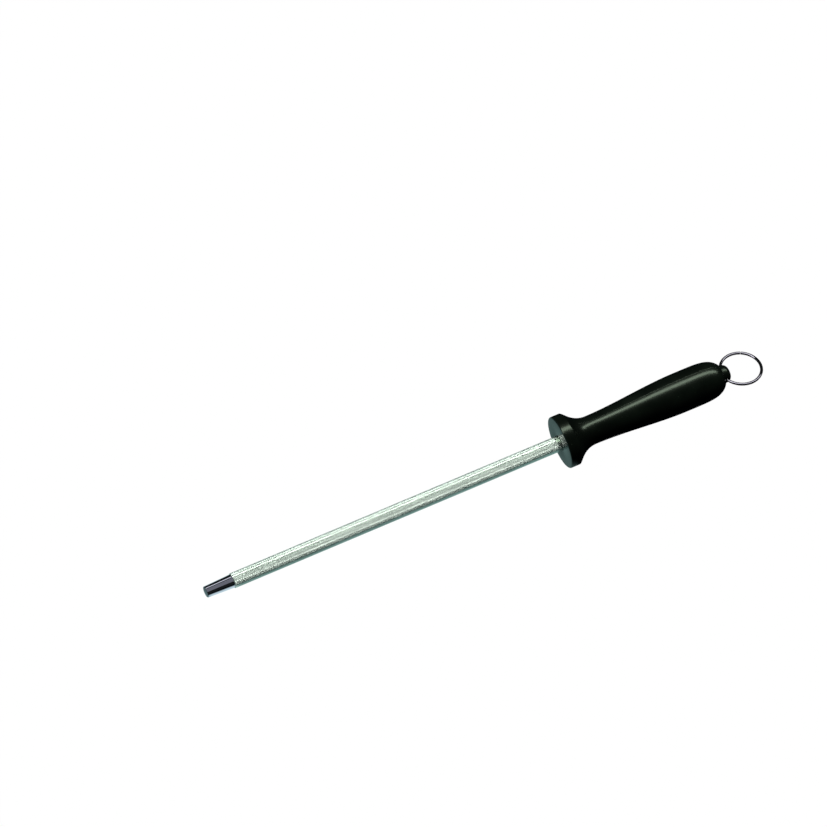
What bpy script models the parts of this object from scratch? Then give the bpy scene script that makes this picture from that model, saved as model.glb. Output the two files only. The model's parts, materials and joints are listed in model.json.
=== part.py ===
"""Knife sharpening steel: a ridged tube with a polished tip, a moulded handle and a swivelling ring.

Metres, +Z up. The steel lies on a table at z = 0, on the guard's rim and the end of the tip, with +X running
from the tip to the butt. Every piece is drawn along the steel's own axis: local z is the distance behind the
guard's front face, so the rod is at negative z and the grip at positive z, and local +X points down.
"""

import math

import bpy

# Rod: a ridged tube that runs on into the handle, closed by a polished plug
ROD_LENGTH = 0.200             # guard face to the end of the tip
ROD_DIAMETER = 0.0080          # over the ridges
RIDGE_COUNT = 60
RIDGE_HEIGHT = 0.00012
TUBE_WALL = 0.0011             # from the ridges' feet to the bore
TUBE_TO_STEM = 0.0087          # from the tube's inner end to the holder's stem
TIP_LENGTH = 0.015             # length of plug outside the tube
TIP_BASE_DIAMETER = 0.0072
TIP_END_DIAMETER = 0.0061
TIP_EDGE_RADIUS = 0.0005
SPIGOT_LENGTH = 0.012          # length of plug inside the tube

# Handle: guard, neck and grip in one moulding
HANDLE_LENGTH = 0.0912         # guard face to the flat at the butt
GUARD_DIAMETER = 0.0278
GUARD_THICKNESS = 0.0057       # length of the guard's straight rim
GUARD_EDGE_RADIUS = 0.0007
FLARE_LENGTH = 0.0118          # from the rim down to the neck
FLARE_POWER = 2.2              # how fast the flare falls away behind the rim
NECK_DIAMETER = 0.0151
BELLY_DIAMETER = 0.0206
DOME_LENGTH = 0.0232           # from the belly to the flat at the butt
DOME_POWER = 5                 # how square the butt's shoulder is
WEB_THICKNESS = 0.0100         # plastic between the rod's bore and the butt
RECESS_DEPTH = 0.0015          # of the recess in the butt that the holder's head sits in
RECESS_GAP = 0.00025           # between the recess's wall and the head
BUTT_LEDGE = 0.0006            # width of the butt's flat round the recess

# Holder: a domed head with a cross eye, on a stem that turns in the handle
HOLDER_DIAMETER = 0.0093
HOLDER_LENGTH = 0.0054         # length of the head, from its seat in the recess
HOLDER_EDGE_RADIUS = 0.0030
STEM_DIAMETER = 0.0042
STEM_END = 0.0016              # length of stem past the washer's groove
STEM_CHAMFER = 0.0004
GROOVE_DEPTH = 0.0006
EYE_DISTANCE = 0.0017          # from the head's seat to the middle of the eye

# Push-on washer that holds the stem in the handle
WASHER_THICKNESS = 0.0005
WASHER_PRONGS = 6
WASHER_NOTCH = 0.0008          # depth of the notches between the prongs

# Hanging ring
RING_RADIUS = 0.0105           # to the middle of the wire
WIRE_DIAMETER = 0.0015
RING_DROP = math.radians(8.0)      # how far the ring lies below the steel's axis
RING_JOINT = math.radians(115.0)   # place of the wire's butt joint, round from the eye
RING_JOINT_GAP = 0.0002

# Clearances
SEAT_GAP = 0.0003              # between pieces that are seated or pressed together
RUN_GAP = 0.00015              # between pieces that turn in each other

# Facets
SIDES = 24
HALF_SIDE = math.pi / SIDES    # turns a flat side, not a corner, to the table
ARC_STEPS = 4
FLARE_STEPS = 7
GRIP_STEPS = 9
DOME_STEPS = 9
EYE_STEPS = 8
RING_STEPS = 48

# Places along the axis
TUBE_FRONT = TIP_LENGTH - ROD_LENGTH
BELLY_START = HANDLE_LENGTH - DOME_LENGTH
BORE_END = HANDLE_LENGTH - WEB_THICKNESS
RECESS_FLOOR = HANDLE_LENGTH - RECESS_DEPTH
HOLDER_SEAT = RECESS_FLOOR + SEAT_GAP
EYE_MIDDLE = HOLDER_SEAT + EYE_DISTANCE
WASHER_REAR = BORE_END - SEAT_GAP
GROOVE_FRONT = WASHER_REAR - WASHER_THICKNESS - SEAT_GAP
STEM_FRONT = GROOVE_FRONT - STEM_END
TUBE_END = STEM_FRONT - TUBE_TO_STEM

# Radii that fit one another
BORE_RADIUS = ROD_DIAMETER / 2 + SEAT_GAP
TUBE_BORE_RADIUS = ROD_DIAMETER / 2 - RIDGE_HEIGHT - TUBE_WALL
STEM_RADIUS = STEM_DIAMETER / 2
STEM_HOLE_RADIUS = STEM_RADIUS + RUN_GAP
GROOVE_RADIUS = STEM_RADIUS - GROOVE_DEPTH
WASHER_HOLE_RADIUS = GROOVE_RADIUS + SEAT_GAP
WASHER_RADIUS = BORE_RADIUS - SEAT_GAP
WIRE_RADIUS = WIRE_DIAMETER / 2
RECESS_RADIUS = HOLDER_DIAMETER / 2 + RECESS_GAP
BUTT_RADIUS = RECESS_RADIUS + BUTT_LEDGE

# How the steel lies: on the guard's front edge and the tip's end
LIE_ANGLE = math.atan((GUARD_DIAMETER - TIP_END_DIAMETER) / 2 / ROD_LENGTH)
AXIS_HEIGHT = GUARD_DIAMETER / 2 * math.cos(LIE_ANGLE)
RING_END = EYE_MIDDLE + (2 * RING_RADIUS + WIRE_RADIUS) * math.cos(RING_DROP)
AXIS_START_X = (ROD_LENGTH - RING_END) / 2 * math.cos(LIE_ANGLE)


def clear_scene():
    """Removes every object that the scene starts with."""
    for old in list(bpy.data.objects):
        bpy.data.objects.remove(old, do_unlink=True)


def new_collection(name):
    """A collection linked to the scene."""
    collection = bpy.data.collections.new(name)
    bpy.context.scene.collection.children.link(collection)
    return collection


def material(name, colour, roughness, metallic):
    """A Principled material of one colour."""
    made = bpy.data.materials.new(name)
    made.use_nodes = True
    shader = made.node_tree.nodes["Principled BSDF"]
    shader.inputs["Base Color"].default_value = (*colour, 1.0)
    shader.inputs["Roughness"].default_value = roughness
    shader.inputs["Metallic"].default_value = metallic
    return made


def empty(name, parent, location=(0, 0, 0), rotation=(0, 0, 0)):
    """An empty that carries other objects."""
    holder = bpy.data.objects.new(name, None)
    holder.location = location
    holder.rotation_euler = rotation
    holder.parent = parent
    parts.objects.link(holder)
    return holder


def arc(centre, radius, start, end, steps=ARC_STEPS):
    """Points (r, z) round an arc, with angles in degrees from +r towards +z."""
    angles = [math.radians(start + (end - start) * i / steps) for i in range(steps + 1)]
    return [(centre[0] + radius * math.cos(a), centre[1] + radius * math.sin(a)) for a in angles]


def turned(name, outline, finish, parent, closed=False, collection=None, sides=SIDES):
    """A solid turned round local z from an outline of (r, z) points that runs down its outer side."""
    points = [(r * math.cos(HALF_SIDE), r * math.sin(HALF_SIDE), z) for r, z in outline]
    count = len(points)
    edges = [(i, (i + 1) % count) for i in range(count if closed else count - 1)]
    mesh = bpy.data.meshes.new(name)
    mesh.from_pydata(points, edges, [])
    piece = bpy.data.objects.new(name, mesh)
    (collection or parts).objects.link(piece)
    piece.parent = parent
    turn = piece.modifiers.new("turn", "SCREW")
    turn.axis = "Z"
    turn.steps = sides
    turn.render_steps = sides
    turn.use_merge_vertices = True
    turn.merge_threshold = 0.00001
    turn.use_smooth_shade = False
    if finish:
        mesh.materials.append(finish)
    return piece


def flat_outline(name, outlines, thickness, finish, parent, middle):
    """A flat piece between closed outlines of (x, y) points, with its thickness centred on z = middle."""
    curve = bpy.data.curves.new(name, "CURVE")
    curve.dimensions = "2D"
    curve.fill_mode = "BOTH"
    curve.extrude = thickness / 2
    for outline in outlines:
        spline = curve.splines.new("POLY")
        spline.points.add(len(outline) - 1)
        for point, (x, y) in zip(spline.points, outline):
            point.co = (x, y, 0, 1)
        spline.use_cyclic_u = True
    curve.materials.append(finish)
    piece = bpy.data.objects.new(name, curve)
    parts.objects.link(piece)
    piece.parent = parent
    piece.location = (0, 0, middle)
    return piece


def star(high, low, count, per_step=1):
    """A closed outline that goes in turn to `count` places at the high radius and `count` at the low one."""
    places = []
    for i in range(2 * count):
        radius = high if i % 2 == 0 else low
        for j in range(per_step):
            angle = math.pi * (i + (j + 0.5) / per_step) / count
            places.append((radius * math.cos(angle), radius * math.sin(angle)))
    return places


def circle(radius, sides=SIDES):
    """A closed round outline with a flat side towards +x."""
    return star(radius, radius, sides // 2)


def cut(piece, cutter):
    """Takes the cutter's shape out of the piece."""
    cutter.hide_render = True
    cutter.display_type = "WIRE"
    boolean = piece.modifiers.new("cut", "BOOLEAN")
    boolean.operation = "DIFFERENCE"
    boolean.solver = "EXACT"
    boolean.object = cutter


def make_tube():
    """The ridged tube, from the tip's shoulder to its end inside the handle."""
    ridges = star(ROD_DIAMETER / 2, ROD_DIAMETER / 2 - RIDGE_HEIGHT, RIDGE_COUNT)
    bore = circle(TUBE_BORE_RADIUS)
    length = TUBE_END - TUBE_FRONT
    flat_outline("ridged_tube", [ridges, bore], length, chrome_ridged, steel_axis, TUBE_FRONT + length / 2)


def make_tip():
    """The polished plug: a spigot in the tube, a shoulder against its end, and a taper to a flat end."""
    spigot = TUBE_BORE_RADIUS - SEAT_GAP
    shoulder = TUBE_FRONT - SEAT_GAP
    end = TIP_END_DIAMETER / 2
    outline = [(0, TUBE_FRONT + SPIGOT_LENGTH), (spigot, TUBE_FRONT + SPIGOT_LENGTH), (spigot, shoulder)]
    outline += [(TIP_BASE_DIAMETER / 2, shoulder)]
    outline += arc((end - TIP_EDGE_RADIUS, TIP_EDGE_RADIUS - ROD_LENGTH), TIP_EDGE_RADIUS, 0, -90)
    outline += [(0, -ROD_LENGTH)]
    turned("tip_plug", outline, chrome_polished, steel_axis)


def grip_outline():
    """The handle's outer side from the butt's flat down to the guard's front face."""
    belly = BELLY_DIAMETER / 2
    neck = NECK_DIAMETER / 2
    guard = GUARD_DIAMETER / 2
    # The dome is a superellipse, stretched so that it meets the flat at the butt's radius
    stretch = (1 - (BUTT_RADIUS / belly) ** 2) ** (1 / DOME_POWER)
    outline = []
    for i in range(DOME_STEPS):
        part = math.cos(math.pi / 2 * i / DOME_STEPS)
        radius = belly * math.sqrt(1 - (part * stretch) ** DOME_POWER)
        outline.append((radius, BELLY_START + DOME_LENGTH * part))
    # The grip swells from the neck to the belly in a smooth S
    neck_start = GUARD_THICKNESS + FLARE_LENGTH
    for i in range(GRIP_STEPS + 1):
        part = 1 - i / GRIP_STEPS
        swell = part * part * (3 - 2 * part)
        outline.append((neck + (belly - neck) * swell, neck_start + (BELLY_START - neck_start) * part))
    # The flare is a power curve that rises from the neck to the rim
    for i in range(1, FLARE_STEPS + 1):
        part = i / FLARE_STEPS
        outline.append((neck + (guard - neck) * part ** FLARE_POWER, neck_start - FLARE_LENGTH * part))
    outline += arc((guard - GUARD_EDGE_RADIUS, GUARD_EDGE_RADIUS), GUARD_EDGE_RADIUS, 0, -90)
    return outline


def make_handle():
    """The moulding, bored from the guard for the tube and from a recess in the butt for the holder's stem."""
    outline = grip_outline()
    outline += [(BORE_RADIUS, 0), (BORE_RADIUS, BORE_END)]
    outline += [(STEM_HOLE_RADIUS, BORE_END), (STEM_HOLE_RADIUS, RECESS_FLOOR)]
    outline += [(RECESS_RADIUS, RECESS_FLOOR), (RECESS_RADIUS, HANDLE_LENGTH)]
    turned("handle", outline, black_plastic, steel_axis, closed=True)


def make_holder():
    """The ring's holder: a domed head, an eye that widens to both sides, and a grooved stem."""
    head = HOLDER_DIAMETER / 2
    top = HOLDER_SEAT + HOLDER_LENGTH
    outline = [(0, top)]
    outline += arc((head - HOLDER_EDGE_RADIUS, top - HOLDER_EDGE_RADIUS), HOLDER_EDGE_RADIUS, 90, 0)
    outline += [(head, HOLDER_SEAT), (STEM_RADIUS, HOLDER_SEAT)]
    outline += [(STEM_RADIUS, WASHER_REAR + SEAT_GAP), (GROOVE_RADIUS, WASHER_REAR + SEAT_GAP)]
    outline += [(GROOVE_RADIUS, GROOVE_FRONT), (STEM_RADIUS, GROOVE_FRONT)]
    outline += [(STEM_RADIUS, STEM_FRONT + STEM_CHAMFER), (STEM_RADIUS - STEM_CHAMFER, STEM_FRONT)]
    outline += [(0, STEM_FRONT)]
    holder = turned("ring_holder", outline, black_plastic, holder_turn)
    # The eye is as much wider than the wire as the ring's curve needs at each distance from its middle
    reach = head + SEAT_GAP
    eye = [(0, reach)]
    for i in range(EYE_STEPS + 1):
        along = reach * (1 - 2 * i / EYE_STEPS)
        sag = RING_RADIUS - math.sqrt(RING_RADIUS ** 2 - along ** 2)
        eye.append((WIRE_RADIUS + RUN_GAP + sag, along))
    eye.append((0, -reach))
    cutter = turned("eye_cutter", eye, None, holder_turn, collection=cutters, sides=16)
    cutter.location = (0, 0, EYE_MIDDLE)
    cutter.rotation_euler = (math.pi / 2, 0, 0)
    cut(holder, cutter)


def make_washer():
    """The push-on washer in the stem's groove."""
    hole = star(WASHER_HOLE_RADIUS, WASHER_HOLE_RADIUS + WASHER_NOTCH, WASHER_PRONGS, per_step=3)
    rims = [circle(WASHER_RADIUS), hole]
    middle = WASHER_REAR - WASHER_THICKNESS / 2
    flat_outline("retaining_washer", rims, WASHER_THICKNESS, spring_steel, holder_turn, middle)


def make_ring():
    """The wire ring, open at its butt joint, in the plane of its own y and z, with the eye at its origin."""
    curve = bpy.data.curves.new("hanging_ring", "CURVE")
    curve.dimensions = "3D"
    curve.bevel_depth = WIRE_RADIUS
    curve.bevel_resolution = 2
    curve.use_fill_caps = True
    spline = curve.splines.new("POLY")
    spline.points.add(RING_STEPS)
    half_gap = RING_JOINT_GAP / 2 / RING_RADIUS
    for i, point in enumerate(spline.points):
        angle = RING_JOINT + half_gap + (2 * math.pi - 2 * half_gap) * i / RING_STEPS
        point.co = (0, RING_RADIUS * math.sin(angle), RING_RADIUS * (1 - math.cos(angle)), 1)
    curve.materials.append(chrome_wire)
    ring = bpy.data.objects.new("hanging_ring", curve)
    parts.objects.link(ring)
    ring.parent = ring_hinge


clear_scene()
parts = new_collection("knife_sharpening_steel")
cutters = new_collection("cutters")

chrome_ridged = material("chrome_ridged", (0.62, 0.66, 0.63), 0.28, 1.0)
chrome_polished = material("chrome_polished", (0.72, 0.73, 0.75), 0.12, 1.0)
chrome_wire = material("chrome_wire", (0.70, 0.71, 0.73), 0.15, 1.0)
spring_steel = material("spring_steel", (0.35, 0.35, 0.36), 0.40, 1.0)
black_plastic = material("black_plastic", (0.010, 0.012, 0.011), 0.38, 0.0)

steel_axis = empty("steel_axis", None, (AXIS_START_X, 0, AXIS_HEIGHT), (0, math.pi / 2 - LIE_ANGLE, 0))
holder_turn = empty("holder_turn", steel_axis)
ring_hinge = empty("ring_hinge", holder_turn, (0, 0, EYE_MIDDLE), (0, RING_DROP, 0))

make_tube()
make_tip()
make_handle()
make_holder()
make_washer()
make_ring()
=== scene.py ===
"""A knife sharpening steel lying on a pale table: the finished surfaces and materials round its fixed frame.

Every turned piece is worked out in the steel's own frame, in which z runs along the steel from the guard's
front face towards the butt, y is level and x points down. It is then laid where the fixed frame has it.
Lengths are metres.
"""

import json
import logging
import math
from dataclasses import dataclass, field
from enum import Enum

import bmesh
import bpy
import numpy as np
from mathutils import Matrix, Vector


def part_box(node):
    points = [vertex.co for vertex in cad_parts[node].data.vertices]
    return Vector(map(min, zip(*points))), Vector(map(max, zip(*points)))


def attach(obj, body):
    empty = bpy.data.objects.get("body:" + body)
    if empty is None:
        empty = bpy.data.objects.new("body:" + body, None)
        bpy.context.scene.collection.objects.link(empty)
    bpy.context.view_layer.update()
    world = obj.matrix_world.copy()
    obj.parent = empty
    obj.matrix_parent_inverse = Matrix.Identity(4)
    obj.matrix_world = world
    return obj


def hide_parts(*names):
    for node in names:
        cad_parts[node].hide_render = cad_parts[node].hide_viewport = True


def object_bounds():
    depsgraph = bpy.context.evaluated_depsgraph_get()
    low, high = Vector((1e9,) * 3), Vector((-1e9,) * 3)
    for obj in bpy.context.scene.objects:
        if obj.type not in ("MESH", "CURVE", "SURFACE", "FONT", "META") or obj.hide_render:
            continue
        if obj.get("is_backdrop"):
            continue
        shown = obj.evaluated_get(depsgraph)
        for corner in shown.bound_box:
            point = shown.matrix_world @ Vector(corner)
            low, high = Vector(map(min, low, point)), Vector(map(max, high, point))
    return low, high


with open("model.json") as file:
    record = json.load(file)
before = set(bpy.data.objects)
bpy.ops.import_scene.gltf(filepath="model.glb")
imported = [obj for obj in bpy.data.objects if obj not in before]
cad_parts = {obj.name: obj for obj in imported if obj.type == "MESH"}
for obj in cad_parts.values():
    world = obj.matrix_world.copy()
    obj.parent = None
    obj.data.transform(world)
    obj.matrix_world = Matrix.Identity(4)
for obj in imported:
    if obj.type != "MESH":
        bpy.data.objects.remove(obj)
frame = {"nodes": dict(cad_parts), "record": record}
cad_low, cad_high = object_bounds()

log = logging.getLogger("steel")

MM = 0.001
FULL_TURN = 2 * math.pi
SAME_POINT = 0.0001 * MM
LAST_RING = 0.4


# ---------------------------------------------------------------- the frame

@dataclass(frozen=True)
class SteelAxis:
    """The line that the rod, the handle and the holder are turned about.

    Attributes:
        start: the middle of the guard's front face.
        along: unit vector from the guard's face towards the butt.
        side: unit vector across the steel, level.
        down: unit vector across the steel, towards the table.
    """

    start: np.ndarray
    along: np.ndarray
    side: np.ndarray
    down: np.ndarray

    @classmethod
    def from_frame(cls) -> "SteelAxis":
        """Reads the axis from the holder's swivel and the guard's face mount.

        Returns:
            The steel's axis in the row frame.
        """
        record = frame["record"]
        swivel = joint("holder_swivel")
        along = np.array(swivel["axis"], float)
        along /= np.linalg.norm(along)
        on_axis = np.array(swivel["pos_m"], float)
        face = next(m for m in record["mounts"] if m["name"] == "guard_face")
        back = (on_axis - np.array(face["pos_m"], float)) @ along
        side = np.array((0.0, 1.0, 0.0))
        return cls(on_axis - along * back, along, side, np.cross(side, along))

    def place(self, points: np.ndarray) -> np.ndarray:
        """Lays points of the steel's frame in the row frame.

        Args:
            points: an array whose last axis holds x, y and z in the steel's frame.

        Returns:
            The same points in the row frame.
        """
        return self.start + points @ np.stack((self.down, self.side, self.along))

    def local(self, points: np.ndarray) -> np.ndarray:
        """Reads points of the row frame in the steel's frame.

        Args:
            points: an array whose last axis holds x, y and z in the row frame.

        Returns:
            The same points in the steel's frame.
        """
        return (points - self.start) @ np.stack((self.down, self.side, self.along)).T

    def reach(self, node: str) -> tuple[float, float, float]:
        """Measures a CAD node about the axis.

        Args:
            node: the node's name.

        Returns:
            Its front end, its rear end and its largest radius.
        """
        points = self.local(points_of(frame["nodes"][node].data))
        return points[:, 2].min(), points[:, 2].max(), np.hypot(points[:, 0], points[:, 1]).max()

    def matrix(self) -> Matrix:
        """The steel's frame as a matrix, for materials that follow the axis."""
        turned = Matrix(np.stack((self.down, self.side, self.along), axis=1).tolist()).to_4x4()
        turned.translation = Vector(self.start)
        return turned


def joint(name: str) -> dict:
    """Finds a joint of the frame.

    Args:
        name: the joint's name.

    Returns:
        The joint as the record states it.
    """
    return next(j for j in frame["record"]["behaviour"]["joints"] if j["name"] == name)


def points_of(mesh: bpy.types.Mesh) -> np.ndarray:
    """A mesh's points, as rows of three numbers."""
    flat = np.empty(len(mesh.vertices) * 3, np.float32)
    mesh.vertices.foreach_get("co", flat)
    return flat.reshape(-1, 3).astype(float)


def add_object(name: str, data: bpy.types.ID) -> bpy.types.Object:
    """Puts a mesh, a light or a camera in the scene under its own name."""
    made = bpy.data.objects.new(name, data)
    bpy.context.scene.collection.objects.link(made)
    return made


# ---------------------------------------------------------------- surfaces

class Ends(Enum):
    """How a grid's rows end."""

    LOOP = "the last row joins the first"
    POLES = "the first and last rows are points on the axis"
    CAPS = "the first and last rows are closed by flat faces"


def grid_object(name: str, grid: np.ndarray, ends: Ends, sharp: float = 30.0) -> bpy.types.Object:
    """Makes a closed piece from a grid of points whose columns go right round.

    Args:
        name: the piece's name.
        grid: points in the row frame, as (rows, columns, 3).
        ends: how the rows end.
        sharp: edges that turn by more than this many degrees are shaded sharp.

    Returns:
        The new object, with its faces pointing outwards.
    """
    rows, columns = grid.shape[:2]
    points = grid.reshape(-1, 3)
    row = np.arange(rows if ends is Ends.LOOP else rows - 1)[:, None]
    column = np.arange(columns)[None, :]
    here, below = row * columns, (row + 1) % rows * columns
    after = (column + 1) % columns
    quads = np.stack((here + column, here + after, below + after, below + column), axis=-1).reshape(-1, 4)
    faces = [tuple(q) for q in quads.tolist()]
    if ends is not Ends.LOOP:
        faces += [tuple(range(columns))[::-1], tuple(range((rows - 1) * columns, rows * columns))]
    mesh = bpy.data.meshes.new(name)
    mesh.from_pydata(points.tolist(), [], faces)
    if ends is Ends.POLES:
        close_poles(mesh)
    face_outwards(mesh)
    mesh.shade_smooth()
    mesh.set_sharp_from_angle(angle=math.radians(sharp))
    return add_object(name, mesh)


def close_poles(mesh: bpy.types.Mesh) -> None:
    """Merges the points that lie together at a turned piece's poles.

    Args:
        mesh: the mesh to clean.
    """
    work = bmesh.new()
    work.from_mesh(mesh)
    bmesh.ops.remove_doubles(work, verts=work.verts, dist=SAME_POINT)
    work.to_mesh(mesh)
    work.free()


def face_outwards(mesh: bpy.types.Mesh) -> None:
    """Turns a closed mesh's faces round if the space they enclose comes out negative.

    Args:
        mesh: a closed mesh with consistent faces.
    """
    mesh.calc_loop_triangles()
    corners = np.empty(len(mesh.loop_triangles) * 3, np.int32)
    mesh.loop_triangles.foreach_get("vertices", corners)
    points = points_of(mesh)
    points -= points.mean(axis=0)
    a, b, c = points[corners.reshape(-1, 3)].transpose(1, 0, 2)
    if np.einsum("ij,ij->i", a, np.cross(b, c)).sum() < 0:
        mesh.flip_normals()


def arc(centre: tuple[float, float], radius: float, start: float, end: float, steps: int = 6) -> np.ndarray:
    """Points round a circle's arc in an outline.

    Args:
        centre: the circle's middle, as radius and distance along.
        radius: the circle's radius.
        start: the first point's angle in degrees, from outwards towards the butt.
        end: the last point's angle in degrees.
        steps: how many pieces the arc is in.

    Returns:
        The points, as rows of radius and distance along.
    """
    angle = np.radians(np.linspace(start, end, steps + 1))
    return np.stack((centre[0] + radius * np.cos(angle), centre[1] + radius * np.sin(angle)), axis=1)


def straight(start: tuple[float, float], end: tuple[float, float], steps: int) -> np.ndarray:
    """Evenly spaced points between two points of an outline, without the last one.

    Args:
        start: the first point, as radius and distance along.
        end: the point that the line runs to.
        steps: how many points to give.

    Returns:
        The points, as rows of radius and distance along.
    """
    share = np.linspace(0, 1, steps, endpoint=False)[:, None]
    return np.array(start) * (1 - share) + np.array(end) * share


def turned_grid(
    axis: SteelAxis, outline: np.ndarray, angles: np.ndarray, lift: np.ndarray | float = 0.0
) -> np.ndarray:
    """Carries an outline round the axis: x = r cos a, y = r sin a, z = distance along.

    Args:
        axis: the steel's axis.
        outline: rows of radius and distance along.
        angles: the angles to carry it to.
        lift: what to add to the radius, by row and angle.

    Returns:
        A grid of points in the row frame, as (rows, angles, 3).
    """
    radius = outline[:, :1] + lift
    across = np.broadcast_to(radius, (len(outline), len(angles)))
    along = np.broadcast_to(outline[:, 1:], across.shape)
    return axis.place(np.stack((across * np.cos(angles), across * np.sin(angles), along), axis=-1))


def smooth_step(value: np.ndarray) -> np.ndarray:
    """The S curve 3v^2 - 2v^3, with the value held between 0 and 1."""
    held = np.clip(value, 0, 1)
    return held * held * (3 - 2 * held)


# ---------------------------------------------------------------- shader maths

class Value:
    """A number or colour inside a material, on which Python's operators add Math nodes."""

    def __init__(self, graph: "Graph", socket: bpy.types.NodeSocket) -> None:
        """Wraps a socket.

        Args:
            graph: the material that the socket is in.
            socket: the output socket.
        """
        self.graph = graph
        self.socket = socket

    def maths(self, operation: str, *others: "Value | float") -> "Value":
        """Adds a Math node.

        Args:
            operation: the node's operation.
            *others: what follows this value in the node's sockets.

        Returns:
            The node's result.
        """
        inputs = {i: v for i, v in enumerate((self, *others))}
        return self.graph.node("ShaderNodeMath", {"operation": operation}, inputs)

    def __add__(self, other: "Value | float") -> "Value":
        """This value plus another."""
        return self.maths("ADD", other)

    __radd__ = __add__

    def __mul__(self, other: "Value | float") -> "Value":
        """This value times another."""
        return self.maths("MULTIPLY", other)

    __rmul__ = __mul__

    def __sub__(self, other: "Value | float") -> "Value":
        """This value less another."""
        return self.maths("SUBTRACT", other)

    def __rsub__(self, other: "Value | float") -> "Value":
        """Another value less this one."""
        return self * -1.0 + other

    def __truediv__(self, other: "Value | float") -> "Value":
        """This value over another."""
        return self.maths("DIVIDE", other)

    def sine(self) -> "Value":
        """The sine of this value in radians."""
        return self.maths("SINE")

    def held(self) -> "Value":
        """This value kept between 0 and 1."""
        return self.graph.node("ShaderNodeClamp", {}, {"Value": self})

    def ramp(self, low: float, high: float) -> "Value":
        """An S curve that goes from 0 where this value is low to 1 where it is high.

        Args:
            low: the value at which the result is 0.
            high: the value at which the result is 1.

        Returns:
            The result, between 0 and 1.
        """
        settings = {"interpolation_type": "SMOOTHSTEP"}
        inputs = {"Value": self, "From Min": low, "From Max": high}
        return self.graph.node("ShaderNodeMapRange", settings, inputs)


class Graph:
    """A material being made: its nodes, its patterns and the coordinates that they use."""

    def __init__(self, name: str) -> None:
        """Starts a material with one Principled shader.

        Args:
            name: the material's name.
        """
        self.material = bpy.data.materials.new(name)
        self.material.use_nodes = True
        self.tree = self.material.node_tree
        self.shader = self.tree.nodes["Principled BSDF"]

    def node(self, kind: str, settings: dict, inputs: dict, output: str | int = 0) -> Value:
        """Adds any node.

        Args:
            kind: the node's type.
            settings: the node's own settings, which are set first.
            inputs: the values or links of its sockets, by name or number.
            output: the name or number of the output wanted.

        Returns:
            That output.
        """
        made = self.tree.nodes.new(kind)
        for name, value in settings.items():
            setattr(made, name, value)
        for place, value in inputs.items():
            self.feed(made.inputs[place], value)
        return Value(self, made.outputs[output])

    def feed(self, socket: bpy.types.NodeSocket, value: "Value | float | tuple") -> None:
        """Links a value to a socket, or sets the socket to a number or a colour.

        Args:
            socket: the input socket.
            value: what it takes.
        """
        if isinstance(value, Value):
            self.tree.links.new(value.socket, socket)
        elif isinstance(value, tuple) and socket.type == "RGBA":
            socket.default_value = (*value, 1.0)
        else:
            socket.default_value = value

    def mix(self, share: "Value | float", low: "Value | tuple", high: "Value | tuple") -> Value:
        """Mixes two colours.

        Args:
            share: how much of the second colour there is.
            low: the first colour.
            high: the second colour.

        Returns:
            The mixed colour.
        """
        made = self.tree.nodes.new("ShaderNodeMix")
        made.data_type = "RGBA"
        named = {(s.name, s.type): s for s in made.inputs}
        self.feed(named["Factor", "VALUE"], share)
        self.feed(named["A", "RGBA"], low)
        self.feed(named["B", "RGBA"], high)
        return Value(self, next(s for s in made.outputs if s.type == "RGBA"))

    def steel_place(self, axis: SteelAxis) -> tuple[Value, Value, Value, Value]:
        """Where a point is in the steel's frame.

        Args:
            axis: the steel's axis.

        Returns:
            The whole vector, the radius, the angle round the axis and the distance along it.
        """
        matrix = axis.matrix()
        start, turn = tuple(matrix.translation), tuple(matrix.to_euler())
        where = self.node("ShaderNodeTexCoord", {}, {}, "Object")
        inputs = {"Vector": where, "Location": start, "Rotation": turn}
        place = self.node("ShaderNodeMapping", {"vector_type": "TEXTURE"}, inputs)
        x, y, z = (self.node("ShaderNodeSeparateXYZ", {}, {"Vector": place}, i) for i in range(3))
        radius = (x * x + y * y).maths("SQRT")
        angle = y.maths("ARCTAN2", x)
        return place, radius, angle, z

    def vector(self, x: "Value | float", y: "Value | float", z: "Value | float") -> Value:
        """A vector of three values."""
        return self.node("ShaderNodeCombineXYZ", {}, {0: x, 1: y, 2: z})

    def noise(self, where: Value, scale: float, detail: float = 2.0, roughness: float = 0.5) -> Value:
        """Cloudy noise between 0 and 1.

        Args:
            where: the coordinates it is read at.
            scale: how many clouds there are in one unit.
            detail: how many finer layers it has.
            roughness: how strong the finer layers are.

        Returns:
            The noise.
        """
        inputs = {"Vector": where, "Scale": scale, "Detail": detail, "Roughness": roughness}
        return self.node("ShaderNodeTexNoise", {}, inputs)

    def bump(self, height: Value, depth: float) -> Value:
        """Turns a height into a normal.

        Args:
            height: the height, in units of the depth.
            depth: how far a height of 1 stands up, in metres.

        Returns:
            The bent normal.
        """
        return self.node("ShaderNodeBump", {}, {"Height": height, "Distance": depth, "Strength": 1.0})

    def finish(self, **sockets: "Value | float | tuple") -> bpy.types.Material:
        """Feeds the shader.

        Args:
            **sockets: the Principled shader's sockets, with underscores for spaces.

        Returns:
            The finished material.
        """
        for name, value in sockets.items():
            self.feed(self.shader.inputs[name.replace("_", " ")], value)
        return self.material


# ---------------------------------------------------------------- finishes

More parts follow.
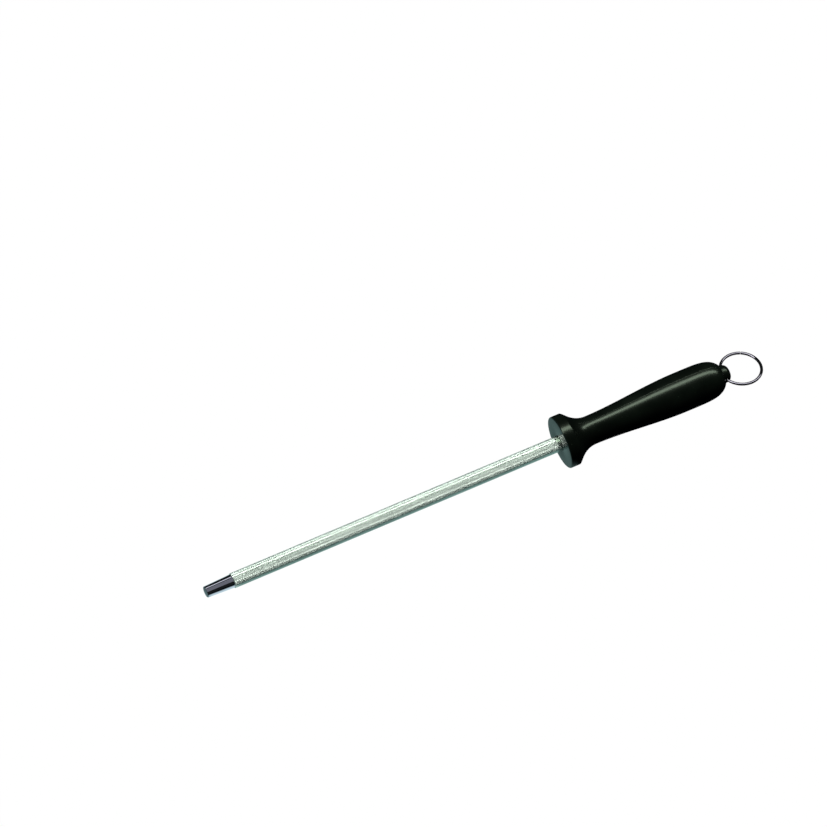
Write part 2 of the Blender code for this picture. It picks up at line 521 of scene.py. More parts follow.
@dataclass(frozen=True)
class RidgedChrome:
    """Hard chrome over lengthwise ridges, whose colour is darker in the valleys than on the crests: painted
    shade in the grooves.

    Faint cross marks, which a knife leaves, lie in patches on it, with a few stained spots.
    """

    crest: tuple = (0.84, 0.90, 0.86)
    # The darker valley colour is painted shade in the ridges' grooves.
    painted_valley_shade: tuple = (0.44, 0.51, 0.48)
    stain: tuple = (0.38, 0.37, 0.30)
    mark: tuple = (0.20, 0.25, 0.22)
    crest_roughness: float = 0.11
    valley_roughness: float = 0.30
    streak_strength: float = 0.35
    mark_strength: float = 0.65
    stain_strength: float = 0.8
    mark_pitch: float = 1.15 * MM
    mark_depth: float = 0.004 * MM

    def make(self, axis: SteelAxis, radius: float, depth: float) -> bpy.types.Material:
        """Makes the material.

        Args:
            axis: the steel's axis.
            radius: the rod's radius over the ridges.
            depth: the ridges' height.

        Returns:
            The material.
        """
        graph = Graph("ridged_chrome")
        place, reach, angle, along = graph.steel_place(axis)
        sunk = ((radius - reach) / depth).held()
        streak_at = graph.vector(angle * 11.0, along * 14.0, 0.0)
        streak = graph.noise(streak_at, scale=1.0, detail=4.0, roughness=0.6)
        wear = graph.noise(place, scale=90.0, detail=3.0)
        wave = along * (FULL_TURN / self.mark_pitch) + angle * 6.0 + streak * 3.0
        marks = (wave.sine() * 0.5 + 0.5).ramp(0.4, 1.0)
        patch = graph.noise(graph.vector(angle * 5.0, along * 45.0, 3.0), scale=1.0, detail=2.0)
        marks = marks * patch.ramp(0.40, 0.60)
        speck = graph.node("ShaderNodeTexVoronoi", {}, {"Vector": place, "Scale": 260.0}, "Distance")
        stained = graph.noise(place, scale=45.0, detail=0.0).ramp(0.60, 0.66)
        spots = (1.0 - speck.ramp(0.04, 0.12)) * stained
        # Painted shade: the colour darkens from the crests down into the valleys.
        metal = graph.mix(sunk, self.crest, self.painted_valley_shade)
        # Random lengthwise streaks are darkened towards the same painted valley shade.
        metal = graph.mix(streak.ramp(0.42, 0.62) * self.streak_strength, metal, self.painted_valley_shade)
        metal = graph.mix(marks * self.mark_strength, metal, self.mark)
        metal = graph.mix(spots * self.stain_strength, metal, self.stain)
        rough = sunk * (self.valley_roughness - self.crest_roughness) + self.crest_roughness
        rough = rough + wear.ramp(0.3, 0.8) * 0.07 + streak * 0.05 + spots * 0.3
        grain = graph.noise(graph.vector(angle * 60.0, along * 400.0, 0.0), scale=1.0)
        shape = graph.bump(marks + grain * 0.2, self.mark_depth)
        return graph.finish(Base_Color=metal, Metallic=1.0, Roughness=rough, Normal=shape)


@dataclass(frozen=True)
class PolishedChrome:
    """Bright chrome on a turned and polished piece, with faint rings and a few rubbed marks."""

    colour: tuple = (0.74, 0.74, 0.84)
    dull: tuple = (0.56, 0.56, 0.66)
    roughness: float = 0.035
    ring_pitch: float = 0.16 * MM
    ring_depth: float = 0.0004 * MM

    def make(self, axis: SteelAxis) -> bpy.types.Material:
        """Makes the material.

        Args:
            axis: the steel's axis.

        Returns:
            The material.
        """
        graph = Graph("polished_chrome")
        place, reach, angle, along = graph.steel_place(axis)
        rings = ((along + reach * 0.3) * (FULL_TURN / self.ring_pitch)).sine() * 0.5 + 0.5
        cloud = graph.noise(place, scale=220.0, detail=4.0)
        scratch_at = graph.vector(angle * 1.5, along * 9000.0, reach * 4000.0)
        scratch = graph.noise(scratch_at, scale=1.0, detail=1.0)
        fine = scratch.ramp(0.66, 0.74)
        metal = graph.mix(cloud.ramp(0.4, 0.9) * 0.35 + fine * 0.15, self.colour, self.dull)
        rough = cloud.ramp(0.35, 0.85) * 0.04 + fine * 0.05 + self.roughness
        shape = graph.bump(rings * 0.6 + scratch * 0.4, self.ring_depth)
        return graph.finish(Base_Color=metal, Metallic=1.0, Roughness=rough, Normal=shape)


@dataclass(frozen=True)
class WireChrome:
    """Bright plated wire, with faint draw marks along it, dulled where it rubs in the eye, and darkened near
    the eye with painted shade where it runs into the holder.
    """

    colour: tuple = (0.54, 0.53, 0.58)
    worn_and_shaded: tuple = (0.36, 0.34, 0.32)
    roughness: float = 0.07
    rub_and_shade_to: float = 3.5 * MM
    bright_from: float = 7.0 * MM
    draw_depth: float = 0.0008 * MM

    def make(self, eye: Vector) -> bpy.types.Material:
        """Makes the material.

        Args:
            eye: the middle of the eye that the wire rubs in.

        Returns:
            The material.
        """
        graph = Graph("wire_chrome")
        where = graph.node("ShaderNodeTexCoord", {}, {}, "Object")
        inputs = {0: where, 1: tuple(eye)}
        off = graph.node("ShaderNodeVectorMath", {"operation": "DISTANCE"}, inputs, "Value")
        # Near the eye the wire is rougher from rubbing, and its colour is darker with painted shade where it
        # runs into the holder.
        rub_and_shade = 1.0 - off.ramp(self.rub_and_shade_to, self.bright_from)
        cloud = graph.noise(where, scale=500.0, detail=3.0)
        draw = graph.noise(graph.node("ShaderNodeUVMap", {}, {}), scale=30.0, detail=2.0)
        metal = graph.mix((cloud.ramp(0.45, 0.8) * 0.25 + rub_and_shade * 0.45).held(), self.colour, self.worn_and_shaded)
        rough = cloud.ramp(0.4, 0.9) * 0.10 + rub_and_shade * 0.18 + self.roughness
        shape = graph.bump(draw, self.draw_depth)
        return graph.finish(Base_Color=metal, Metallic=1.0, Roughness=rough, Normal=shape)


@dataclass(frozen=True)
class MouldedPlastic:
    """Black moulded plastic: a fine satin grain on the grip and a smoother guard face, whose lighter teal
    colour is a painted reflection of the pale table.
    """

    colour: tuple = (0.0014, 0.0019, 0.0017)
    rubbed: tuple = (0.0032, 0.0042, 0.0036)
    dust: tuple = (0.030, 0.034, 0.030)
    # The guard face's lighter teal colour is a painted reflection of the pale table.
    face: tuple = (0.007, 0.011, 0.013)
    satin: float = 0.24
    gloss: float = 0.11
    shine: float = 0.20
    gloss_fades_over: float = 0.6 * MM
    grain_depth: float = 0.0022 * MM

    def make(self, name: str, axis: SteelAxis, gloss_before: float) -> bpy.types.Material:
        """Makes the material.

        Args:
            name: the material's name.
            axis: the steel's axis.
            gloss_before: the distance along the steel before which the plastic is glossy.

        Returns:
            The material.
        """
        graph = Graph(name)
        place, reach, angle, along = graph.steel_place(axis)
        cloud = graph.noise(place, scale=55.0, detail=4.0, roughness=0.55)
        grain = graph.noise(place, scale=5200.0, detail=2.0, roughness=0.6)
        swirl = graph.noise(graph.vector(angle * 2.5, along * 240.0, 0.0), scale=1.0, detail=3.0)
        scuff_at = graph.vector(angle * 9.0 + along * 90.0, along * 900.0, reach * 200.0)
        scuff = graph.noise(scuff_at, scale=1.0, detail=2.0).ramp(0.70, 0.76)
        satin = along.ramp(gloss_before, gloss_before + self.gloss_fades_over)
        black = graph.mix(cloud.ramp(0.35, 0.75), self.colour, self.rubbed)
        motes = graph.node("ShaderNodeTexVoronoi", {}, {"Vector": place, "Scale": 700.0}, "Distance")
        dusty = (1.0 - motes.ramp(0.05, 0.11)) * cloud.ramp(0.52, 0.60) * satin
        black = graph.mix((scuff * 0.20 + dusty * 0.35).held(), black, self.dust)
        # Painted reflection: the glossy guard face is lightened towards the face colour.
        black = graph.mix((1.0 - satin) * (0.75 + cloud * 0.25), black, self.face)
        rough = satin * (self.satin - self.gloss) + self.gloss
        rough = rough + (cloud - 0.5) * 0.10 + scuff * 0.10 + swirl * 0.03
        shape = graph.bump(grain * satin * 0.8 + swirl * 0.6, self.grain_depth)
        return graph.finish(Base_Color=black, Roughness=rough, Normal=shape, Specular_IOR_Level=self.shine)


@dataclass(frozen=True)
class BluedSteel:
    """Spring steel blued by its heat treatment."""

    blue: tuple = (0.10, 0.13, 0.20)
    straw: tuple = (0.26, 0.20, 0.12)
    roughness: float = 0.28
    grain_depth: float = 0.0015 * MM

    def make(self) -> bpy.types.Material:
        """Makes the material.

        Returns:
            The material.
        """
        graph = Graph("blued_steel")
        where = graph.node("ShaderNodeTexCoord", {}, {}, "Object")
        cloud = graph.noise(where, scale=400.0, detail=4.0)
        metal = graph.mix(cloud.ramp(0.35, 0.75), self.blue, self.straw)
        rough = cloud * 0.2 + self.roughness
        shape = graph.bump(graph.noise(where, scale=6000.0, detail=1.0), self.grain_depth)
        return graph.finish(Base_Color=metal, Metallic=1.0, Roughness=rough, Normal=shape)


# ---------------------------------------------------------------- pieces

def dress(piece: bpy.types.Object, finish: bpy.types.Material, node: str, body: str) -> None:
    """Gives a piece its finish and its place in the frame, and hides the CAD node that it replaces.

    Args:
        piece: the new piece.
        finish: its material.
        node: the CAD node that it replaces.
        body: the body that it rides on.
    """
    piece.data.materials.clear()
    piece.data.materials.append(finish)
    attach(piece, body)
    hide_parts(node)
    log.info("%s: %d faces on %s", piece.name, len(piece.data.polygons), body)


@dataclass
class Rod:
    """The ridged tube and the polished plug in its end."""

    axis: SteelAxis
    ridges: int = 60
    ridge_height: float = 0.034 * MM
    crest_share: float = 0.60
    points_per_ridge: int = 8
    wall: float = 1.1 * MM
    shoulder: float = 0.42 * MM
    bore_edge: float = 0.1 * MM
    tip_base: float = 3.60 * MM
    tip_end: float = 3.05 * MM
    tip_edge: float = 0.5 * MM
    tip_gap: float = 0.02 * MM
    tip_step_edge: float = 0.12 * MM
    tip_land: float = 0.2 * MM
    spigot_length: float = 12.0 * MM
    spigot_clearance: float = 0.15 * MM
    spigot_chamfer: float = 0.4 * MM
    tip_sides: int = 192
    finish_tube: RidgedChrome = field(default_factory=RidgedChrome)
    finish_tip: PolishedChrome = field(default_factory=PolishedChrome)

    def tube(self) -> None:
        """Builds the tube: ridges outside, a rounded shoulder at its front end and a plain bore.

        A ridge is flat over its crest and falls in a V to the valleys. Near the front the rod is turned down
        in a quarter circle, and where that is lower than a ridge, the ridge stops at it.
        """
        front, rear, radius = self.axis.reach("ridged_tube")
        columns = self.ridges * self.points_per_ridge
        angles = np.arange(columns) * FULL_TURN / columns
        across = np.abs((angles * self.ridges / FULL_TURN + 0.5) % 1 - 0.5) * 2
        fall = np.clip((across - self.crest_share) / (1 - self.crest_share), 0, 1)
        ridge = radius - self.ridge_height * fall
        bore = radius - self.wall
        turn = arc((radius - self.shoulder, front + self.shoulder), self.shoulder, 0, -90, steps=10)
        outer = np.concatenate((straight((radius, rear), tuple(turn[0]), steps=12), turn))
        inner = np.array(((bore + self.bore_edge, front), (bore, front + self.bore_edge), (bore, rear)))
        outline = np.concatenate((outer, inner))
        lift = np.minimum(outline[:, :1], ridge) - outline[:, :1]
        lift[len(outer):] = 0
        grid = turned_grid(self.axis, outline, angles, lift)
        piece = grid_object("ridged_rod", grid, Ends.LOOP, sharp=38.0)
        finish = self.finish_tube.make(self.axis, radius, self.ridge_height)
        dress(piece, finish, "ridged_tube", "steel")

    def tip(self) -> None:
        """Builds the plug: a flat end with a small round edge, a taper, a shoulder and the spigot."""
        front, _, _ = self.axis.reach("tip_plug")
        tube_front, _, radius = self.axis.reach("ridged_tube")
        shoulder = tube_front - self.tip_gap
        spigot = radius - self.wall - self.spigot_clearance
        chamfer, round_off = self.spigot_chamfer, self.tip_step_edge
        top = tube_front + self.spigot_length
        edge = arc((self.tip_end - self.tip_edge, front + self.tip_edge), self.tip_edge, 0, -90, steps=8)
        outline = np.concatenate((
            ((0, top), (spigot - chamfer, top), (spigot, top - chamfer), (spigot, shoulder)),
            arc((self.tip_base - round_off, shoulder - round_off), round_off, 90, 0, steps=4),
            straight((self.tip_base, shoulder - self.tip_land), tuple(edge[0]), steps=10),
            edge,
            ((self.tip_end * LAST_RING, front), (0, front)),
        ))
        angles = np.arange(self.tip_sides) * FULL_TURN / self.tip_sides
        piece = grid_object("polished_tip", turned_grid(self.axis, outline, angles), Ends.POLES)
        dress(piece, self.finish_tip.make(self.axis), "tip_plug", "steel")


@dataclass
class Handle:
    """The black moulding: guard, neck and grip."""

    axis: SteelAxis
    guard_thickness: float = 5.7 * MM
    guard_edge: float = 0.7 * MM
    rim_corner: float = 0.45 * MM
    flare_length: float = 11.8 * MM
    flare_power: float = 2.2
    neck: float = 7.55 * MM
    belly: float = 10.3 * MM
    dome_length: float = 23.2 * MM
    dome_power: float = 5.0
    butt: float = 5.5 * MM
    recess: float = 4.9 * MM
    recess_depth: float = 1.5 * MM
    inner_edge: float = 0.2 * MM
    rod_clearance: float = 0.06 * MM
    stem_hole: float = 2.25 * MM
    web: float = 10.0 * MM
    mould_line_height: float = 0.07 * MM
    mould_line_width: float = 0.10 * MM
    mould_line_fade: float = 3.0 * MM
    mould_line_reach: float = 3.0
    mould_line_points: int = 13
    dome_points: int = 46
    grip_points: int = 60
    flare_points: int = 36
    sides: int = 176
    clear_of_lines: float = 0.004
    glossy_to: float = 0.05 * MM
    finish: MouldedPlastic = field(default_factory=MouldedPlastic)

    def outline(self, length: float, guard: float) -> np.ndarray:
        """The outer side from the butt to the guard's front face.

        The dome is a superellipse that meets the butt's flat, the grip swells in an S curve, and the flare
        rises from the neck to the rim as a power of the distance.

        Args:
            length: from the guard's face to the butt.
            guard: the guard's radius.

        Returns:
            Rows of radius and distance along.
        """
        belly_at = length - self.dome_length
        stretch = (1 - (self.butt / self.belly) ** 2) ** (1 / self.dome_power)
        part = np.cos(np.linspace(0, math.pi / 2, self.dome_points, endpoint=False))
        dome = np.stack((
            self.belly * np.sqrt(1 - (part * stretch) ** self.dome_power),
            belly_at + self.dome_length * part,
        ), axis=1)
        neck_at = self.guard_thickness + self.flare_length
        part = np.linspace(1, 0, self.grip_points)
        grip = np.stack((
            self.neck + (self.belly - self.neck) * smooth_step(part),
            neck_at + (belly_at - neck_at) * part,
        ), axis=1)
        part = np.linspace(0, 1, self.flare_points + 1)[1:]
        flare = np.stack((
            self.neck + (guard - self.neck) * part ** self.flare_power,
            neck_at - self.flare_length * part,
        ), axis=1)
        corner = self.rim_corner
        flare = flare[flare[:, 0] < guard - corner]
        rear = arc((guard - corner, self.guard_thickness - corner), corner, 40, 0, steps=4)
        front = arc((guard - self.guard_edge, self.guard_edge), self.guard_edge, 0, -90, steps=10)
        return np.concatenate((dome, grip, flare, rear, front))

    def angles(self) -> np.ndarray:
        """Angles round the handle, closer together over the two mould lines, at the top and at the bottom."""
        even = np.arange(self.sides) * FULL_TURN / self.sides
        near = np.linspace(-1, 1, self.mould_line_points) * self.mould_line_reach
        near = near * self.mould_line_width / self.belly
        lines = np.concatenate([(near + middle) % FULL_TURN for middle in (0.0, math.pi)])
        apart = np.abs((even[:, None] - lines[None] + math.pi) % FULL_TURN - math.pi).min(axis=1)
        return np.sort(np.concatenate((even[apart > self.clear_of_lines], lines)))

    def build(self) -> None:
        """Builds the moulding with its bores and a fine raised line where the mould's halves met."""
        _, length, guard = self.axis.reach("handle")
        _, _, rod = self.axis.reach("ridged_tube")
        bore, hole, corner = rod + self.rod_clearance, self.stem_hole, self.inner_edge
        bore_end, floor = length - self.web, length - self.recess_depth
        outer = self.outline(length, guard)
        inner = np.concatenate((
            arc((bore + corner, corner), corner, -90, -180, steps=4),
            ((bore, bore_end), (hole, bore_end), (hole, floor), (self.recess, floor)),
            arc((self.recess + corner, length - corner), corner, 180, 90, steps=4),
        ))
        outline = np.concatenate((outer, inner))
        angles = self.angles()
        off = (angles + math.pi / 2) % math.pi - math.pi / 2
        line = np.exp(-((off * self.belly / self.mould_line_width) ** 2))
        along = outline[:, 1:]
        shows = smooth_step((along - self.guard_thickness) / self.mould_line_fade)
        shows = shows * smooth_step((length - 1 * MM - along) / MM)
        shows[len(outer):] = 0
        lift = self.mould_line_height * shows * line
        grid = turned_grid(self.axis, outline, angles, lift)
        piece = grid_object("moulded_handle", grid, Ends.LOOP, sharp=42.0)
        finish = self.finish.make("black_plastic", self.axis, self.glossy_to)
        dress(piece, finish, "handle", "steel")


@dataclass
class Hanger:
    """The swivelling holder, its retaining washer and the wire ring."""

    axis: SteelAxis
    holder_edge: float = 3.0 * MM
    eye_distance: float = 1.7 * MM
    head: float = 4.65 * MM
    stem: float = 2.1 * MM
    groove: float = 1.5 * MM
    seat_gap: float = 0.3 * MM
    close_gap: float = 0.06 * MM
    chamfer: float = 0.4 * MM
    crown: float = 0.35 * MM
    sides: int = 192
    ring_radius: float = 10.5 * MM
    wire: float = 0.75 * MM
    wire_end_edge: float = 0.12 * MM
    wire_sides: int = 40
    ring_steps: int = 321
    joint_place: float = math.radians(115.0)
    joint_gap: float = 0.2 * MM
    eye_clearance: float = 0.17 * MM
    eye_flare: float = 0.35 * MM
    eye_flare_depth: float = 0.9 * MM
    cutter_overhang: float = 0.6 * MM
    cutter_rows: int = 41
    cutter_sides: int = 96
    prongs: int = 6
    points_per_prong: int = 24
    prong_tip: float = 1.85 * MM
    notch: float = 0.75 * MM
    notch_from: float = 0.72
    notch_ease: float = 0.12
    washer_thickness: float = 0.32 * MM
    washer_rows: int = 14
    finish_holder: MouldedPlastic = field(default_factory=lambda: MouldedPlastic(satin=0.30, gloss=0.30))
    finish_ring: WireChrome = field(default_factory=WireChrome)
    finish_washer: BluedSteel = field(default_factory=BluedSteel)

    def eye(self) -> Vector:
        """The middle of the eye, which the ring swings about."""
        return Vector(joint("ring_swing")["pos_m"])

    def holder(self) -> None:
        """Builds the holder and cuts its eye."""
        stem_front, rear, _ = self.axis.reach("ring_holder")
        washer_front, washer_rear, _ = self.axis.reach("retaining_washer")
        seat = self.axis.local(np.array(self.eye()))[2] - self.eye_distance - self.seat_gap + self.close_gap
        groove_front = washer_front - self.seat_gap
        groove_rear = washer_rear + self.seat_gap
        outline = np.concatenate((
            ((0, rear), (self.head * LAST_RING, rear)),
            arc((self.head - self.holder_edge, rear - self.holder_edge), self.holder_edge, 88, 0, steps=14),
            arc((self.head - self.crown, seat + self.crown), self.crown, 0, -90, steps=6),
            ((self.stem, seat), (self.stem, groove_rear)),
            ((self.groove, groove_rear), (self.groove, groove_front)),
            ((self.stem, groove_front), (self.stem, stem_front + self.chamfer)),
            ((self.stem - self.chamfer, stem_front), (0, stem_front)),
        ))
        angles = np.arange(self.sides) * FULL_TURN / self.sides
        piece = grid_object("ring_holder_body", turned_grid(self.axis, outline, angles), Ends.POLES)
        cutter = self.eye_cutter()
        cut = piece.modifiers.new("eye", "BOOLEAN")
        cut.operation = "DIFFERENCE"
        cut.solver = "EXACT"
        cut.object = cutter
        shaped = bpy.data.meshes.new_from_object(piece.evaluated_get(bpy.context.evaluated_depsgraph_get()))
        piece.modifiers.clear()
        piece.data = shaped
        bpy.data.objects.remove(cutter, do_unlink=True)
        shaped.shade_smooth()
        shaped.set_sharp_from_angle(angle=math.radians(35.0))
        finish = self.finish_holder.make("holder_plastic", self.axis, -1.0)
        dress(piece, finish, "ring_holder", "holder")

    def eye_cutter(self) -> bpy.types.Object:
        """The eye's shape, turned about the ring's swing axis.

        Its radius is the wire's, a clearance, and the height of the ring's arc over a chord of that length,
        which the wire's curve needs. Near the holder's surface it flares.

        Returns:
            The cutter.
        """
        reach = self.head + self.cutter_overhang
        along = np.linspace(reach, -reach, self.cutter_rows)
        sag = self.ring_radius - np.sqrt(self.ring_radius ** 2 - along ** 2)
        radius = self.wire + self.eye_clearance + sag
        radius += self.eye_flare * smooth_step((np.abs(along) - self.head + self.eye_flare_depth) / MM)
        radius = np.concatenate(((0.0,), radius, (0.0,)))
        along = np.concatenate(((reach,), along, (-reach,)))
        angles = np.arange(self.cutter_sides) * FULL_TURN / self.cutter_sides
        across = radius[:, None] * np.cos(angles)
        lengthwise = radius[:, None] * np.sin(angles)
        level = np.broadcast_to(along[:, None], across.shape)
        middle = self.axis.local(np.array(self.eye()))
        points = middle + np.stack((across, level, lengthwise), axis=-1)
        return grid_object("eye_cutter", self.axis.place(points), Ends.POLES)

    def washer(self) -> None:
        """Builds the push-on washer: a thin dished disc whose hole runs between prong tips and notches."""
        front, rear, radius = self.axis.reach("retaining_washer")
        columns = self.prongs * self.points_per_prong
        angles = np.arange(columns) * FULL_TURN / columns
        phase = np.abs((angles * self.prongs / FULL_TURN) % 1 - 0.5) * 2
        hole = self.prong_tip + self.notch * smooth_step((phase - self.notch_from) / self.notch_ease)
        share = np.linspace(0, 1, self.washer_rows)[:, None]
        thick = self.washer_thickness
        dish = (rear - front - thick) * smooth_step(1 - share)
        across = hole + (radius - hole) * share
        top = np.stack((across, np.broadcast_to(front + thick + dish, across.shape)), axis=-1)
        base = np.stack((across, np.broadcast_to(front + dish, across.shape)), axis=-1)[::-1]
        section = np.concatenate((top, base))
        out, along = section[..., 0], section[..., 1]
        points = np.stack((out * np.cos(angles), out * np.sin(angles), along), axis=-1)
        piece = grid_object("star_washer", self.axis.place(points), Ends.LOOP)
        dress(piece, self.finish_washer.make(), "retaining_washer", "holder")

    def ring(self) -> None:
        """Builds the wire ring: a circle carried round a circle, with round-edged ends at its butt joint."""
        eye = np.array(self.eye())
        box_low, box_high = (np.array(v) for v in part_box("hanging_ring"))
        toward = (box_low + box_high) / 2 - eye
        toward[1] = 0
        toward /= np.linalg.norm(toward)
        upright = np.cross(toward, self.axis.side)
        half_gap = self.joint_gap / 2 / self.ring_radius
        ease = self.wire_end_edge
        steps = np.linspace(half_gap, FULL_TURN - half_gap, self.ring_steps)
        round_off = ease / self.ring_radius * np.array((0.0, 0.35, 1.0))
        steps = np.concatenate((half_gap + round_off, steps[2:-2], FULL_TURN - half_gap - round_off[::-1]))
        from_end = np.minimum(steps - half_gap, FULL_TURN - half_gap - steps) * self.ring_radius
        inward = 1 - np.clip(from_end / ease, 0, 1)
        thick = self.wire - ease * (1 - np.sqrt(np.clip(1 - inward ** 2, 0, 1)))
        place = steps + self.joint_place
        angles = np.arange(self.wire_sides) * FULL_TURN / self.wire_sides
        reach = self.ring_radius + thick[:, None] * np.cos(angles)
        lift = thick[:, None] * np.sin(angles)
        outward = self.ring_radius - reach * np.cos(place)[:, None]
        sideways = reach * np.sin(place)[:, None]
        grid = eye + outward[..., None] * toward + sideways[..., None] * self.axis.side
        grid = grid + lift[..., None] * upright
        piece = grid_object("wire_ring", grid, Ends.CAPS, sharp=50.0)
        self.wire_uv(piece, len(steps), len(angles))
        dress(piece, self.finish_ring.make(self.eye()), "hanging_ring", "ring")

    @staticmethod
    def wire_uv(piece: bpy.types.Object, steps: int, sides: int) -> None:
        """Gives the wire a UV map that is stretched along it, for its draw marks.

        Args:
            piece: the ring.
            steps: how many sections it has.
            sides: how many points a section has.
        """
        mesh = piece.data
        layer = mesh.uv_layers.new(name="UVMap")
        owners = np.empty(len(mesh.loops), np.int32)
        mesh.loops.foreach_get("vertex_index", owners)
        section, point = owners // sides, owners % sides
        turn = point / sides * FULL_TURN
        layer.data.foreach_set("uv", np.stack((section / steps * 0.6, np.sin(turn) * 0.5), axis=1).ravel())


# ---------------------------------------------------------------- studio

@dataclass
class Studio:
    """The pale table, the soft lights and the camera.

    Attributes:
        axis: the steel's axis.
        azimuth: the camera's turn about the vertical, in degrees from square on to the steel.
        elevation: the camera's height over the horizon, in degrees.
        view_width: how wide the square view is.
        guard_right: how far right of the view's middle the guard's face is.
        guard_below: how far below the view's middle it is.
        distance: how far away the camera is.
        table_half: half the table's width.
        table_gap: how far the table lies below the steel.
        table_seen: the table's own colour, under its glow.
        table_glow: how white the table is in the view.
        sheet_reflected: the pale strip of table that the rod reflects.
        tip_sheet: the same strip beside the polished tip.
        table_reflected: the rest of the table, as reflections see it.
        sheet_half_width: half the pale strip's width at the tip.
        sheet_spread: how much wider half of it gets for each metre towards the guard.
        sheet_behind: how fast it ends behind the steel, as a share of how fast it ends in front.
        sheet_fade: where it starts to fade and is gone, as shares of its half width.
        sheet_before_tip: how much of it is left in front of the tip's end.
        tip_length: how far the brighter part beside the tip goes.
        strip_length: the strip lights' length.
        strip_distance: how far they hang from the steel.
        surround: how bright the surroundings are in reflections.
    """

    axis: SteelAxis
    azimuth: float = -26.4
    elevation: float = 50.4
    view_width: float = 417.45 * MM
    guard_right: float = 73.849 * MM
    guard_below: float = 14.891 * MM
    distance: float = 0.9
    table_half: float = 3.0
    table_gap: float = 0.1 * MM
    table_seen: tuple = (0.10, 0.10, 0.10)
    table_glow: float = 1.0
    sheet_reflected: tuple = (0.26, 0.42, 0.40)
    tip_sheet: tuple = (0.66, 0.84, 0.84)
    table_reflected: tuple = (0.002, 0.004, 0.006)
    sheet_half_width: float = 8.5 * MM
    sheet_spread: float = 0.07
    sheet_behind: float = 0.35
    sheet_fade: tuple = (0.6, 1.5)
    sheet_before_tip: float = 0.35
    tip_length: float = 15.0 * MM
    strip_length: float = 2.4
    strip_distance: float = 0.7
    surround: float = 0.014

    def directions(self) -> tuple[Vector, Vector, Vector]:
        """The camera's right, up and backward directions."""
        turn, rise = math.radians(self.azimuth), math.radians(self.elevation)
        back = Vector((math.sin(turn) * math.cos(rise), -math.cos(turn) * math.cos(rise), math.sin(rise)))
        right = Vector((math.cos(turn), math.sin(turn), 0.0))
        return right, back.cross(right), back

    def camera(self) -> None:
        """Sets a parallel camera so that the guard's face falls where it should in the square view."""
        right, up, back = self.directions()
        target = Vector(self.axis.start) - right * self.guard_right + up * self.guard_below
        data = bpy.data.cameras.new("camera")
        data.type = "ORTHO"
        data.ortho_scale = self.view_width
        camera = add_object("camera", data)
        turned = Matrix((right, up, back)).transposed().to_4x4()
        camera.matrix_world = Matrix.Translation(target + back * self.distance) @ turned
        bpy.context.scene.camera = camera

    def floor(self) -> None:
        """A table top, white in the view, and dark in reflections but for a pale strip by the steel."""
        half, low = self.table_half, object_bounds()[0].z - self.table_gap
        corners = [(-half, -half, low), (half, -half, low), (half, half, low), (-half, half, low)]
        mesh = bpy.data.meshes.new("table_top")
        mesh.from_pydata(corners, [], [(0, 1, 2, 3)])
        table = add_object("table_top", mesh)
        graph = Graph("table_top")
        graph.finish(
            Base_Color=self.table_seen,
            Roughness=1.0,
            Specular_IOR_Level=0.0,
            Emission_Color=(1.0, 1.0, 1.0),
            Emission_Strength=self.table_glow,
        )
        seen = graph.node("ShaderNodeLightPath", {}, {}, "Is Camera Ray")
        reflected = graph.node("ShaderNodeEmission", {}, {"Color": self.reflected(graph), "Strength": 1.0})
        inputs = {0: seen, 1: reflected, 2: Value(graph, graph.shader.outputs[0])}
        surface = graph.node("ShaderNodeMixShader", {}, inputs)
        graph.feed(graph.tree.nodes["Material Output"].inputs["Surface"], surface)
        mesh.materials.append(graph.material)
        table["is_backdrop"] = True

    def reflected(self, graph: Graph) -> Value:
        """The table's colour in reflections: the pale strip, which is brightest beside the polished tip.

        Args:
            graph: the table's material.

        Returns:
            The colour.
        """
        where = graph.node("ShaderNodeTexCoord", {}, {}, "Object")
        x, y = (graph.node("ShaderNodeSeparateXYZ", {}, {"Vector": where}, i) for i in range(2))
        tip, guard = cad_low.x, float(self.axis.start[0])
        shoulder = tip + self.tip_length
        half_width = ((x - tip) * self.sheet_spread).maths("MAXIMUM", 0.0) + self.sheet_half_width
        off = (y * -1.0).maths("MAXIMUM", y * self.sheet_behind)
        near = 1.0 - (off / half_width).ramp(*self.sheet_fade)
        near = near * (1.0 - x.ramp(guard + 2 * MM, guard + 8 * MM))
        past_end = x.ramp(tip - 1 * MM, tip + 1 * MM)
        near = near * (past_end * (1.0 - self.sheet_before_tip) + self.sheet_before_tip)
        beside_tip = x.ramp(tip - 1 * MM, tip + 4 * MM) * (1.0 - x.ramp(shoulder, shoulder + 5 * MM))
        sheet = graph.mix(beside_tip, self.sheet_reflected, self.tip_sheet)
        return graph.mix(near, self.table_reflected, sheet)

    def strip(self, name: str, rise: float, half_width: float, radiance: float, colour: tuple,
              lit: tuple[str, ...]) -> None:
        """Hangs a long soft light that runs along the steel, faces it and lights only the pieces named.

        Args:
            name: the light's name.
            rise: its height over the horizon in degrees, from the front, and past 90 for behind the steel.
            half_width: half the angle that it covers, in degrees.
            radiance: how bright it is, where white paper in full light is about 1.
            colour: its colour.
            lit: the pieces that it lights.
        """
        e = math.radians(rise)
        back = Vector((0.0, -math.cos(e), math.sin(e)))
        right = Vector((1.0, 0.0, 0.0))
        light = bpy.data.lights.new(name, "AREA")
        light.shape = "RECTANGLE"
        light.size = self.strip_length
        light.size_y = 2 * self.strip_distance * math.tan(math.radians(half_width))
        light.energy = radiance * math.pi * light.size * light.size_y
        light.color = colour
        lamp = add_object(name, light)
        turned = Matrix((right, back.cross(right), back)).transposed().to_4x4()
        lamp.matrix_world = Matrix.Translation(back * self.strip_distance) @ turned
        lamp.visible_camera = False
        group = bpy.data.collections.new(f"lit_by_{name}")
        for piece in lit:
            group.objects.link(bpy.data.objects[piece])
        lamp.light_linking.receiver_collection = group

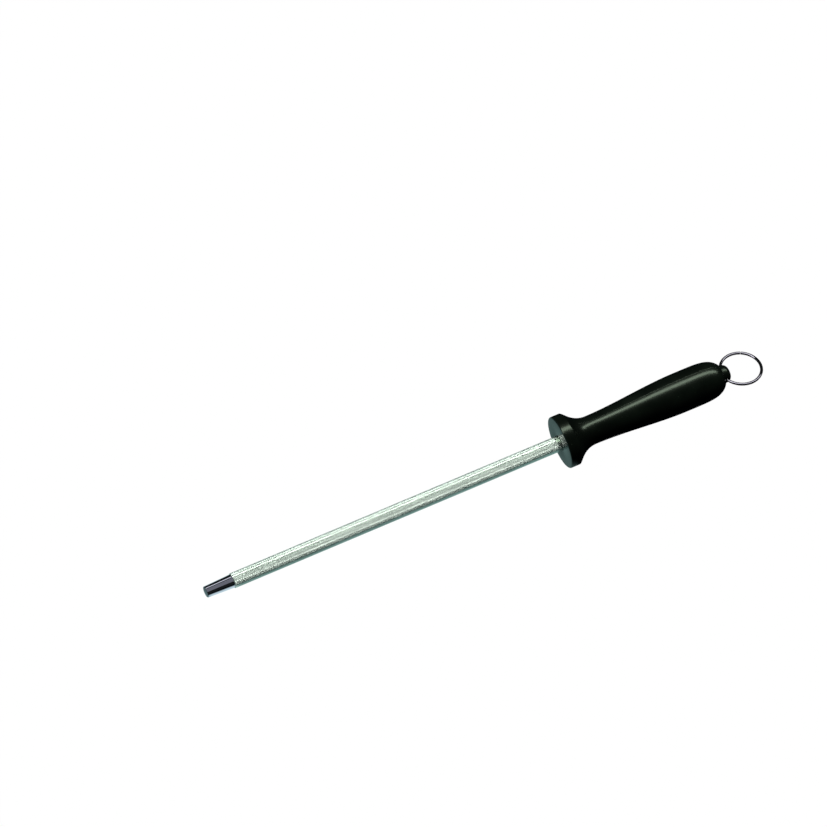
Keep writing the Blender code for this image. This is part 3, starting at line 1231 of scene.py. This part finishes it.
    def lights(self) -> None:
        """Hangs the strips: each finish has its own, because each reflects a different part of the room."""
        tip, rod, ring = ("polished_tip",), ("ridged_rod",), ("wire_ring",)
        grip = ("moulded_handle", "ring_holder_body", "star_washer")
        self.strip("tip_streak", 123.0, 6.0, 0.95, (0.93, 0.97, 1.0), tip)
        self.strip("tip_sky", 73.0, 30.0, 0.18, (0.87, 0.90, 1.0), tip)
        self.strip("rod_overhead", 111.0, 4.5, 7.2, (0.93, 1.0, 0.91), rod)
        self.strip("rod_sky", 66.0, 28.0, 0.42, (0.92, 1.0, 0.92), rod)
        self.strip("rod_back", 155.0, 7.5, 3.2, (0.92, 1.0, 0.94), rod)
        self.strip("rod_front", 26.0, 5.0, 4.6, (0.94, 1.0, 0.93), rod)
        self.strip("grip_overhead", 100.0, 7.0, 16.0, (0.80, 1.0, 0.76), grip)
        self.strip("ring_overhead", 90.0, 15.0, 1.8, (0.95, 0.94, 1.0), ring)

    def surroundings(self) -> None:
        """Gives reflections dim surroundings, and the view the same white as the table."""
        world = bpy.data.worlds.new("surroundings")
        world.use_nodes = True
        nodes, links = world.node_tree.nodes, world.node_tree.links
        dim, white = nodes["Background"], nodes.new("ShaderNodeBackground")
        choice = nodes.new("ShaderNodeMixShader")
        dim.inputs["Color"].default_value = (0.90, 1.0, 0.97, 1)
        dim.inputs["Strength"].default_value = self.surround
        white.inputs["Color"].default_value = (1, 1, 1, 1)
        links.new(nodes.new("ShaderNodeLightPath").outputs["Is Camera Ray"], choice.inputs[0])
        links.new(dim.outputs[0], choice.inputs[1])
        links.new(white.outputs[0], choice.inputs[2])
        links.new(choice.outputs[0], nodes["World Output"].inputs["Surface"])
        bpy.context.scene.world = world
        bpy.context.scene.view_settings.view_transform = "Standard"


def main() -> None:
    """Builds the camera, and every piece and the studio."""
    logging.basicConfig(level=logging.INFO, format="%(message)s")
    axis = SteelAxis.from_frame()
    studio = Studio(axis)
    studio.camera()
    rod = Rod(axis)
    rod.tube()
    rod.tip()
    Handle(axis).build()
    hanger = Hanger(axis)
    hanger.holder()
    hanger.washer()
    hanger.ring()
    studio.floor()
    studio.lights()
    studio.surroundings()


if __name__ == "__main__":
    main()
